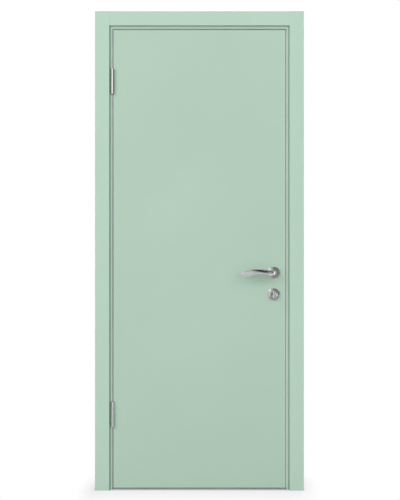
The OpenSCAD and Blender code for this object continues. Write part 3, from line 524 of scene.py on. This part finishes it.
def lever_ring(section, place, inset=0.0):
    """Points round one section of the lever, drawn in by an inset."""
    along, out, up, heading, half_t, half_h, square, roll = section
    heading, roll = math.radians(heading), math.radians(roll)
    ring = []
    for turn in circle(LEVER_SIDES):
        c, s = math.cos(turn), math.sin(turn)
        p = (half_t - inset) * math.copysign(abs(c) ** (2 / square), c)
        q = (half_h - inset) * math.copysign(abs(s) ** (2 / square), s)
        across = p * math.cos(roll) - q * math.sin(roll)
        rise = p * math.sin(roll) + q * math.cos(roll)
        ring.append(place(across * math.cos(heading) - along, up + rise, out + across * math.sin(heading)))
    return ring


def lever_piece(name, front):
    """The lever with its neck, a rounded tip and the hole of its grub screw."""
    place = on_face(LEVER_AXIS, front)
    sections = list(lever_sections(8))
    rings = lathe_rings(place, [(NECK_R, FACE_CLEAR), (NECK_R, ROSE_H + 0.3), (HUB_R - 0.6, ROSE_H + 0.4),
                                (HUB_R - 0.2, ROSE_H + 0.55)], LEVER_SIDES)
    root = list(sections[0])
    root[1] += 0.5
    rings += [lever_ring(section, place) for section in [root] + sections[1:]]
    tip = sections[-1]
    for turn in quarter(5, 1):
        end = list(tip)
        end[0] += TIP_ROUND * math.sin(turn)
        rings.append(lever_ring(end, place, TIP_ROUND * (1 - math.cos(turn))))
    work = bmesh.new()
    join_rings(work, rings)
    made = as_object(name, work)
    drill = bmesh.new()
    join_rings(drill, [[place(GRUB_R * math.cos(t), up, GRUB_OUT + GRUB_R * math.sin(t)) for t in circle(32)]
                       for up in GRUB_DEPTH])
    bmesh.ops.recalc_face_normals(drill, faces=drill.faces)
    shaded(made.data)
    cut_away(made, as_object(name + " drill", drill))
    return made


finished(lever_piece("front_lever_smooth", True), "lever", "handle_chrome", "front_lever")
finished(lever_piece("rear_lever_smooth", False), "lever", "handle_chrome", "rear_lever")

# Roses, privacy turn and coin release

ROSE_R = 27.0
ROSE_WALL = 1.5
ROSE_BEVEL = 2.0
ROSE_CROWN = 1.2
ROSE_FOOT = 0.3
CROWN_STEPS = 8
SOFT_EDGE = 0.5
TURNING_GAP = 0.3
BAR_HALF = 3
BAR_END = -47.0
LEVER_HOLE_R = NECK_R + TURNING_GAP
TURN_NECK_R = BAR_HALF * math.sqrt(2) + 1.8
TURN_HOLE_R = TURN_NECK_R + TURNING_GAP


def rose_piece(name, axis, front, hole_r):
    """A turned cup whose bevelled rim has softened edges."""
    place = on_face(axis, front)
    inner = ROSE_R - ROSE_WALL
    face_r = ROSE_R - ROSE_BEVEL
    radii = [hole_r + (face_r - hole_r) * k / CROWN_STEPS for k in range(CROWN_STEPS, -1, -1)]
    crown = [(r, ROSE_H - ROSE_CROWN * (r / face_r) ** 2) for r in radii]
    rim = [(ROSE_R - ROSE_FOOT, 0.0), (ROSE_R, ROSE_FOOT), (ROSE_R, ROSE_H - ROSE_BEVEL - ROSE_CROWN)]
    outside = rounded(rim + crown + [(hole_r, ROSE_H - ROSE_WALL)], SOFT_EDGE)
    inside = [(inner - ROSE_BEVEL / 2, ROSE_H - ROSE_WALL), (inner, ROSE_H - ROSE_WALL - ROSE_BEVEL / 2),
              (inner, 0.0), (ROSE_R - ROSE_FOOT, 0.0)]
    work = bmesh.new()
    join_rings(work, lathe_rings(place, outside + inside, 128), False, False)
    return as_object(name, work)


for name, axis, front, hole in (("front_lever", LEVER_AXIS, True, LEVER_HOLE_R),
                                ("rear_lever", LEVER_AXIS, False, LEVER_HOLE_R),
                                ("front_wc", TURN_AXIS, True, TURN_HOLE_R),
                                ("rear_wc", TURN_AXIS, False, TURN_HOLE_R)):
    rose = rose_piece(name + "_rose_turned", axis, front, hole)
    finished(rose, "leaf", "handle_chrome", name + "_rose_cover")

GRIP_H = 34.0
GRIP_W = 13.0
GRIP_REACH = 17.0
GRIP_ROUND = 3.2
PINCH_D = GRIP_W * 0.22
PINCH_H = GRIP_H - GRIP_W - 2
DISC_R = 17.0
DISC_T = 2.5
DISH = 1.4
DISH_STEPS = 8
DISC_OUT = ROSE_H + TURNING_GAP


def rectangle(half_w, half_h):
    """Corners round the middle, in order."""
    return [(-half_w, -half_h), (half_w, -half_h), (half_w, half_h), (-half_w, half_h)]


def grip_outline(pinch):
    """Half widths of the grip up its height: round ends and a pinched waist."""
    half = GRIP_H / 2
    end = half - GRIP_W / 2
    levels = [-half * math.cos(math.pi * k / 48) for k in range(49)]
    right = []
    for up in levels:
        if abs(up) > end:
            wide = math.sqrt(max(0.0, (GRIP_W / 2) ** 2 - (abs(up) - end) ** 2))
        else:
            wide = GRIP_W / 2
        if abs(up) < PINCH_H / 2:
            wide -= pinch * (0.5 + 0.5 * math.cos(2 * math.pi * up / PINCH_H))
        right.append((wide, up))
    return right + [(-wide, up) for wide, up in reversed(right[1:-1])]


def drawn_in(outline, inset):
    """Moves a closed outline inwards along its own normals."""
    made = []
    for k, point in enumerate(outline):
        before, after = Vector(outline[k - 1]), Vector(outline[(k + 1) % len(outline)])
        way = (after - before).normalized()
        made.append((point[0] - way.y * inset, point[1] + way.x * inset))
    return made


def thumb_turn_piece():
    """A dished disc on a neck, the pinched grip with its soft foot and end, and the square bar."""
    place = on_face(TURN_AXIS, True)
    foot = DISC_OUT + DISC_T
    top = foot + GRIP_REACH
    work = bmesh.new()
    rim = DISC_R - 1.2
    inward = [1 - k / DISH_STEPS for k in range(DISH_STEPS + 1)]
    dish = [(rim * share + 0.3, foot - DISH * (1 - share ** 2)) for share in inward]
    neck = [(TURN_NECK_R, FACE_CLEAR), (TURN_NECK_R, DISC_OUT), (DISC_R, DISC_OUT), (DISC_R, foot)]
    join_rings(work, lathe_rings(place, rounded(neck + dish, SOFT_EDGE)))
    # Distance out, share of the pinch and inset of each outline of the grip
    levels = [(foot - DISH - 0.3, 0.0, -0.8), (foot - 0.3, 0.0, -0.8), (foot + 0.2, 0.0, -0.45),
              (foot + 0.8, 0.15, -0.1), (foot + 1.6, 0.6, 0.0), (foot + 2.6, 1.0, 0.0)]
    levels += [(top - GRIP_ROUND + GRIP_ROUND * math.sin(t), 1.0, GRIP_ROUND * (1 - math.cos(t)))
               for t in quarter(5)]
    join_rings(work, [[place(x, up, out) for x, up in drawn_in(grip_outline(PINCH_D * pinch), inset)]
                      for out, pinch, inset in levels])
    bar = rectangle(BAR_HALF, BAR_HALF)
    join_rings(work, [[place(x, up, out) for x, up in bar] for out in (BAR_END, ROSE_H)])
    return as_object("thumb_turn_soft", work)


finished(thumb_turn_piece(), "turn", "handle_chrome", "thumb_turn")

RELEASE_R = 12.0
RELEASE_T = 1.6
COIN_SLOT_HALF = (1.2, 10.0)
COIN_SLOT_DEPTH = 1.0


def release_piece():
    """A turned disc with a slot for a coin."""
    place = on_face(TURN_AXIS, False)
    top = DISC_OUT + RELEASE_T
    work = bmesh.new()
    profile = [(TURN_NECK_R, FACE_CLEAR), (TURN_NECK_R, DISC_OUT), (RELEASE_R, DISC_OUT), (RELEASE_R, top),
               (2.0, top)]
    join_rings(work, lathe_rings(place, rounded(profile, SOFT_EDGE)))
    made = as_object("coin_release_soft", work)
    shaded(made.data)
    groove = bmesh.new()
    join_rings(groove, [[place(x, up, out) for x, up in rectangle(*COIN_SLOT_HALF)]
                        for out in (top - COIN_SLOT_DEPTH, top + 0.5)])
    bmesh.ops.recalc_face_normals(groove, faces=groove.faces)
    cut_away(made, as_object("coin slot", groove))
    return made


finished(release_piece(), "turn", "handle_chrome", "emergency_release")

# Hinge pins with domed ends

PIN_R = 3.5
PIN_TIP_H = 2.5
CAP_H = 1.2
DOME_H = CAP_H * 0.75
POLE_R = 0.02


def hinge_pin_piece(name, node):
    """A turned pin with a rounded tip and a domed cap."""
    low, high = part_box(node)
    middle = (low + high) / 2
    cap_r = (high.x - low.x) / 2 / MM
    top, bottom = (high.z - middle.z) / MM, (low.z - middle.z) / MM
    tip = [(PIN_R * math.sin(t) * 0.98 + POLE_R, bottom + PIN_TIP_H * (1 - math.cos(t))) for t in quarter(6)]
    shank = [(PIN_R, top - CAP_H), (cap_r - 0.2, top - CAP_H), (cap_r, top - CAP_H * 0.9)]
    dome = [(max(cap_r * math.cos(t), POLE_R), top - DOME_H + DOME_H * math.sin(t)) for t in quarter(6)]

    def place(across, along, out):
        return Vector((middle.x + across * MM, middle.y + along * MM, middle.z + out * MM))
    work = bmesh.new()
    join_rings(work, lathe_rings(place, tip + shank + dome, 64))
    return as_object(name, work)


for side in ("upper", "lower"):
    node = side + "_hinge_pin"
    finished(hinge_pin_piece(node + "_domed", node), "frame", "hinge_steel", node)

# Countersunk screws with a cross recess, one at each screw of the CAD

SCREW_SIDES = 40


def screw_group():
    """Places a screw on each point, its length along the direction and its cross turned by chance."""
    tree = bpy.data.node_groups.new("countersunk screws", "GeometryNodeTree")
    for label, kind, value in (("Geometry", "Geometry", None), ("Direction", "Vector", (1, 0, 0)),
                               ("Head Radius", "Float", 0.004), ("Head Height", "Float", 0.0021),
                               ("Shank Radius", "Float", 0.0019), ("Length", "Float", 0.02),
                               ("Tip Length", "Float", 0.004), ("Recess Width", "Float", 0.0009),
                               ("Recess Depth", "Float", 0.0012), ("Seed", "Int", 3),
                               ("Finish", "Material", None)):
        socket = tree.interface.new_socket(label, in_out="INPUT", socket_type="NodeSocket" + kind)
        if value is not None:
            socket.default_value = value
    tree.interface.new_socket("Geometry", in_out="OUTPUT", socket_type="NodeSocketGeometry")
    given = tree.nodes.new("NodeGroupInput").outputs
    out = tree.nodes.new("NodeGroupOutput").inputs

    def cone(low_r, high_r, depth, lift):
        made = add(tree, "GeometryNodeMeshCone",
                   {"Vertices": SCREW_SIDES, "Radius Bottom": low_r, "Radius Top": high_r, "Depth": depth},
                   fill_type="NONE")
        up = add(tree, "ShaderNodeCombineXYZ", {"Z": lift}).outputs[0]
        return add(tree, "GeometryNodeTransform",
                   {"Geometry": made.outputs["Mesh"], "Translation": up}).outputs[0]

    tip_start = math_node(tree, "SUBTRACT", given["Length"], given["Tip Length"])
    shank_len = math_node(tree, "SUBTRACT", tip_start, given["Head Height"])
    head = cone(given["Head Radius"], given["Shank Radius"], given["Head Height"], 0.0)
    shank = cone(given["Shank Radius"], given["Shank Radius"], shank_len, given["Head Height"])
    tip = cone(given["Shank Radius"], 0.0, given["Tip Length"], tip_start)
    disc = add(tree, "GeometryNodeMeshCircle",
               {"Vertices": SCREW_SIDES, "Radius": given["Head Radius"]}, fill_type="NGON")
    face = add(tree, "GeometryNodeFlipFaces", {"Mesh": disc.outputs[0]})
    body = add(tree, "GeometryNodeJoinGeometry")
    for piece in (tip, shank, head, face.outputs[0]):
        tree.links.new(piece, body.inputs[0])
    welded = add(tree, "GeometryNodeMergeByDistance", {"Geometry": body.outputs[0], "Distance": 1e-6})
    arms = add(tree, "GeometryNodeJoinGeometry")
    arm_len = times(tree, given["Head Radius"], 1.15)
    deep = times(tree, given["Recess Depth"], 2.0)
    for wide, tall in ((given["Recess Width"], arm_len), (arm_len, given["Recess Width"])):
        size = add(tree, "ShaderNodeCombineXYZ", {"X": wide, "Y": tall, "Z": deep}).outputs[0]
        tree.links.new(add(tree, "GeometryNodeMeshCube", {"Size": size}).outputs["Mesh"], arms.inputs[0])
    crossed = add(tree, "GeometryNodeMeshBoolean", {"Self Intersection": True},
                  operation="DIFFERENCE", solver="EXACT")
    tree.links.new(welded.outputs[0], crossed.inputs["Mesh 1"])
    tree.links.new(arms.outputs[0], crossed.inputs["Mesh 2"])
    chance = add(tree, "FunctionNodeRandomValue", {"Seed": given["Seed"]}, data_type="FLOAT")
    turn = times(tree, chance.outputs[1], math.pi)
    spin = add(tree, "FunctionNodeEulerToRotation",
               {0: add(tree, "ShaderNodeCombineXYZ", {"Z": turn}).outputs[0]}).outputs[0]
    aimed = add(tree, "FunctionNodeAlignRotationToVector",
                {"Vector": given["Direction"]}, axis="Z").outputs[0]
    turned = add(tree, "FunctionNodeRotateRotation", {0: aimed, 1: spin}, rotation_space="LOCAL").outputs[0]
    placed = add(tree, "GeometryNodeInstanceOnPoints",
                 {"Points": given["Geometry"], "Instance": crossed.outputs[0], "Rotation": turned})
    solid = add(tree, "GeometryNodeRealizeInstances", {"Geometry": placed.outputs[0]})
    coated = add(tree, "GeometryNodeSetMaterial",
                 {"Geometry": solid.outputs[0], "Material": given["Finish"]})
    tree.links.new(coated.outputs[0], out[0])
    return tree


SCREWS = screw_group()


def solids_of(node):
    """The low and high corners of each separate solid in a CAD node, always in the same order."""
    work = bmesh.new()
    work.from_mesh(cad[node].data)
    bmesh.ops.remove_doubles(work, verts=work.verts, dist=1e-6)
    left = set(work.verts)
    corners = []
    while left:
        reached = [left.pop()]
        for vert in reached:
            for edge in vert.link_edges:
                other = edge.other_vert(vert)
                if other in left:
                    left.remove(other)
                    reached.append(other)
        spots = [vert.co.copy() for vert in reached]
        corners.append([Vector([pick(spot[i] for spot in spots) for i in range(3)]) for pick in (min, max)])
    work.free()
    return sorted(corners, key=lambda pair: tuple(pair[0]))


def screws_piece(node, direction, body, slot, seed):
    """Crossed screws in place of a CAD node's, driven in along x, forwards or backwards."""
    work = bmesh.new()
    for low, high in solids_of(node):
        spot = (low + high) / 2
        spot.x = low.x if direction > 0 else high.x
        work.verts.new(spot)
    made = as_object(node + "_crossed", work)
    change = made.modifiers.new("screws", "NODES")
    change.node_group = SCREWS
    sockets = {item.name: item.identifier for item in SCREWS.interface.items_tree
               if item.in_out == "INPUT"}
    change[sockets["Direction"]] = (float(direction), 0.0, 0.0)
    change[sockets["Seed"]] = seed
    change[sockets["Finish"]] = finishes[slot]
    settle(made, change)
    return finished(made, body, slot, node, angle=25.0)


for node, direction, body, seed in (("hinge_frame_screws", -1, "frame", 3),
                                    ("hinge_leaf_screws", 1, "leaf", 5),
                                    ("forend_screws", -1, "leaf", 7),
                                    ("strike_screws", 1, "frame", 9)):
    screws_piece(node, direction, body, SLOT_OF[node], seed)

# Latch spring, drawn as a fixed coil with its own mesh; in the lock it is pressed together as the latch is drawn
# in

SPRING_R = 4.0
SPRING_WIRE_R = 0.6
SPRING_TURNS = 4
SPRING_STEPS = SPRING_TURNS * 40


def latch_spring_piece():
    """A coil of round wire along the latch."""
    low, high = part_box("latch_spring")
    foot = Vector((low.x, (low.y + high.y) / 2, (low.z + high.z) / 2))
    length = (high.x - low.x) / MM
    way = Vector((1, 0, 0))
    rings = []
    for i in range(SPRING_STEPS + 1):
        turn = 2 * math.pi * SPRING_TURNS * i / SPRING_STEPS
        out = Vector((0, math.cos(turn), math.sin(turn)))
        along = (SPRING_WIRE_R + (length - 2 * SPRING_WIRE_R) * i / SPRING_STEPS) * way
        middle = along + SPRING_R * out
        rings.append([foot + MM * (middle + SPRING_WIRE_R * (math.cos(t) * out + math.sin(t) * way))
                      for t in circle(12)])
    work = bmesh.new()
    join_rings(work, rings)
    coil = as_object("latch_spring_coil", work)
    made = finished(coil, "leaf", SLOT_OF["latch_spring"], "latch_spring")
    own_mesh(made)


latch_spring_piece()

# Studio

FLOOR_HALF = 6
DOOR_FOOT_HALF = (0.462, 0.026, 0)


def floor_material():
    """Pale floor that the camera sees near white, with painted shade round the door's foot, and that keeps the
    door's shadow.
    """
    made = bpy.data.materials.new("pale floor")
    made.use_nodes = True
    tree = made.node_tree
    place = object_place(tree)
    tone = noise(tree, place, 8.0, 3.0)
    bsdf = tree.nodes["Principled BSDF"]
    tree.links.new(mixed(tree, tone, grey(236), grey(232)), bsdf.inputs["Base Color"])
    bsdf.inputs["Roughness"].default_value = 0.9
    bsdf.inputs["Specular IOR Level"].default_value = 0.1
    mirrored = between(tree, vector_node(tree, "LENGTH", place, output="Value"), 1.6, 2.4, 1.0, 0.36)
    rays = add(tree, "ShaderNodeLightPath").outputs
    seen = math_node(tree, "MAXIMUM", rays["Is Camera Ray"], rays["Is Glossy Ray"])
    level = math_node(tree, "MAXIMUM", rays["Is Camera Ray"], mirrored)
    glow = add(tree, "ShaderNodeEmission", {"Color": (1, 1, 1, 1), "Strength": level})
    # The glow fades towards the door's foot and is almost gone under the leaf: painted shade there, under the real
    # shadow of the door on the lit part
    out = vector_node(tree, "SUBTRACT", vector_node(tree, "ABSOLUTE", place), DOOR_FOOT_HALF)
    out = vector_node(tree, "MULTIPLY", vector_node(tree, "MAXIMUM", out, (0, 0, 0)), (2.5, 1, 1))
    away = vector_node(tree, "LENGTH", out, output="Value")
    share = plus(tree, between(tree, away, 0.0, 0.016, 0.06, 0.66), between(tree, away, 0.02, 0.2, 0.0, 0.34))
    pale = add(tree, "ShaderNodeMixShader", {0: share, 1: bsdf.outputs[0], 2: glow.outputs[0]})
    bounce = add(tree, "ShaderNodeBsdfDiffuse", {"Color": grey(128)})
    both = add(tree, "ShaderNodeMixShader", {0: seen, 1: bounce.outputs[0], 2: pale.outputs[0]})
    tree.links.new(both.outputs[0], tree.nodes["Material Output"].inputs["Surface"])
    return made


def floor_piece():
    """The floor, which isn't part of the door."""
    mesh = bpy.data.meshes.new("floor")
    corners = [(x, y, 0) for x, y in rectangle(FLOOR_HALF, FLOOR_HALF)]
    mesh.from_pydata(corners, [], [(0, 1, 2, 3)])
    mesh.materials.append(floor_material())
    made = bpy.data.objects.new("floor", mesh)
    bpy.context.scene.collection.objects.link(made)


floor_piece()


def area_light(name, place, aim, size, power, mirrored=True, falls=True):
    """A lamp hidden from the camera. Metal may show it, and its light may fall on matt surfaces."""
    data = bpy.data.lights.new(name, "AREA")
    data.shape = "RECTANGLE"
    data.size, data.size_y = size
    data.energy = power
    made = bpy.data.objects.new(name, data)
    made.location = place
    made.rotation_euler = (Vector(aim) - Vector(place)).to_track_quat("-Z", "Y").to_euler()
    bpy.context.scene.collection.objects.link(made)
    made.visible_camera = False
    made.visible_glossy = mirrored
    made.visible_diffuse = falls


LEAF_MIDDLE = (0, 0, 0.9)
UPPER_HINGE = (-0.385, -0.03, 1.81)
HANDLE = LEVER_AXIS + Vector((-0.02, -0.06, -0.03))
HANDLE_WINDOWS_AWAY = 0.6


def ahead(azimuth, elevation):
    """The direction from the handle at angles counted to the right of straight ahead and up."""
    turn, rise = math.radians(azimuth), math.radians(elevation)
    return Vector((math.sin(turn) * math.cos(rise), -math.cos(turn) * math.cos(rise), math.sin(rise)))


area_light("left softbox", (-3.3, -4.4, 3.1), LEAF_MIDDLE, (5.4, 5.4), 235, mirrored=False)
area_light("right softbox", (2.81, -4.49, 3.2), LEAF_MIDDLE, (5.4, 5.4), 165, mirrored=False)
area_light("rear softbox", (1.6, 5.0, 3.8), LEAF_MIDDLE, (4.4, 4.4), 300, mirrored=False)
area_light("low fill", (0, -1.5, 0.2), (0, 0, 0.2), (3.0, 0.3), 3.5)
area_light("overhead strip", (0, 0.02, 4.4), (0, 0.02, 0), (3.0, 0.2), 15, mirrored=False)
area_light("hinge window", (-0.5, -1.21, 2.1), UPPER_HINGE, (1.2, 0.4), 2.2, falls=False)
for name, azimuth, elevation, size, power in (("upper left window", -74, 38, (0.26, 0.4), 1.3),
                                              ("upper right window", 76, 22, (0.24, 0.2), 0.45),
                                              ("low right window", 76, -22, (0.24, 0.2), 0.45)):
    place = HANDLE + HANDLE_WINDOWS_AWAY * ahead(azimuth, elevation)
    area_light(name, place, HANDLE, size, power, falls=False)

# Levels of the room in front of the door, as metal mirrors it
FRONT_LOW, FRONT_HIGH, CEILING, WINDOW, SUN = 0.40, 0.24, 0.4, 0.6, 1.3
DARKEST = 0.97


def room_level(tree):
    """Brightness that polished metal mirrors: white behind the door, and in front of it a grey room with
    a window on the left and a dark part higher up. Directions are in degrees."""
    way = parts_of(tree, add(tree, "ShaderNodeTexCoord").outputs["Generated"])
    rise = math_node(tree, "DEGREES", math_node(tree, "ARCSINE", way["Z"]))
    depth = math_node(tree, "ABSOLUTE", way["Y"])
    turn = math_node(tree, "DEGREES", math_node(tree, "ARCTAN2", way["X"], depth))
    front = plus(tree, between(tree, rise, -20.0, 14.0, FRONT_LOW, FRONT_HIGH),
                 between(tree, rise, 50.0, 60.0, 0.0, CEILING))
    left = plus(tree, between(tree, turn, 5.4, 0.5, 0.0, WINDOW), between(tree, turn, -16.0, -26.0, 0.0, SUN))
    left = times(tree, left, between(tree, rise, 34.0, 14.0), between(tree, turn, -62.0, -52.0))
    dark = times(tree, between(tree, rise, 31.0, 37.0), between(tree, rise, 55.0, 49.0),
                 between(tree, turn, 0.0, 3.0), between(tree, turn, 16.0, 11.0), DARKEST)
    room = times(tree, plus(tree, front, left), math_node(tree, "SUBTRACT", 1.0, dark))
    behind = between(tree, way["Y"], -0.05, 0.05)
    return plus(tree, times(tree, room, math_node(tree, "SUBTRACT", 1.0, behind)), behind)


def white_world():
    """White to the camera, a room to metal, and a softer even light on the door."""
    world = bpy.data.worlds.new("studio")
    world.use_nodes = True
    tree = world.node_tree
    rays = add(tree, "ShaderNodeLightPath").outputs
    even = add(tree, "ShaderNodeBackground", {"Color": (0.98, 0.99, 1.0, 1), "Strength": 0.08})
    room = add(tree, "ShaderNodeBackground", {"Color": (1, 1, 1, 1), "Strength": room_level(tree)})
    white = add(tree, "ShaderNodeBackground", {"Color": (1, 1, 1, 1), "Strength": 1.0})
    lit = add(tree, "ShaderNodeMixShader", {0: rays["Is Glossy Ray"], 1: even.outputs[0], 2: room.outputs[0]})
    seen = math_node(tree, "MAXIMUM", rays["Is Camera Ray"], rays["Is Transmission Ray"])
    both = add(tree, "ShaderNodeMixShader", {0: seen, 1: lit.outputs[0], 2: white.outputs[0]})
    tree.links.new(both.outputs[0], tree.nodes["World Output"].inputs["Surface"])
    return world


scene = bpy.context.scene
scene.world = white_world()
scene.view_settings.view_transform = "Standard"

lens = bpy.data.cameras.new("front camera")
lens.sensor_fit = "VERTICAL"
lens.sensor_height = 24.0
lens.lens = 33.64
camera = bpy.data.objects.new("front camera", lens)
camera.location = (0.0025, -3.138, 1.0644)
camera.rotation_euler = (math.pi / 2, 0, 0)
scene.collection.objects.link(camera)
scene.camera = camera

bpy.context.view_layer.update()
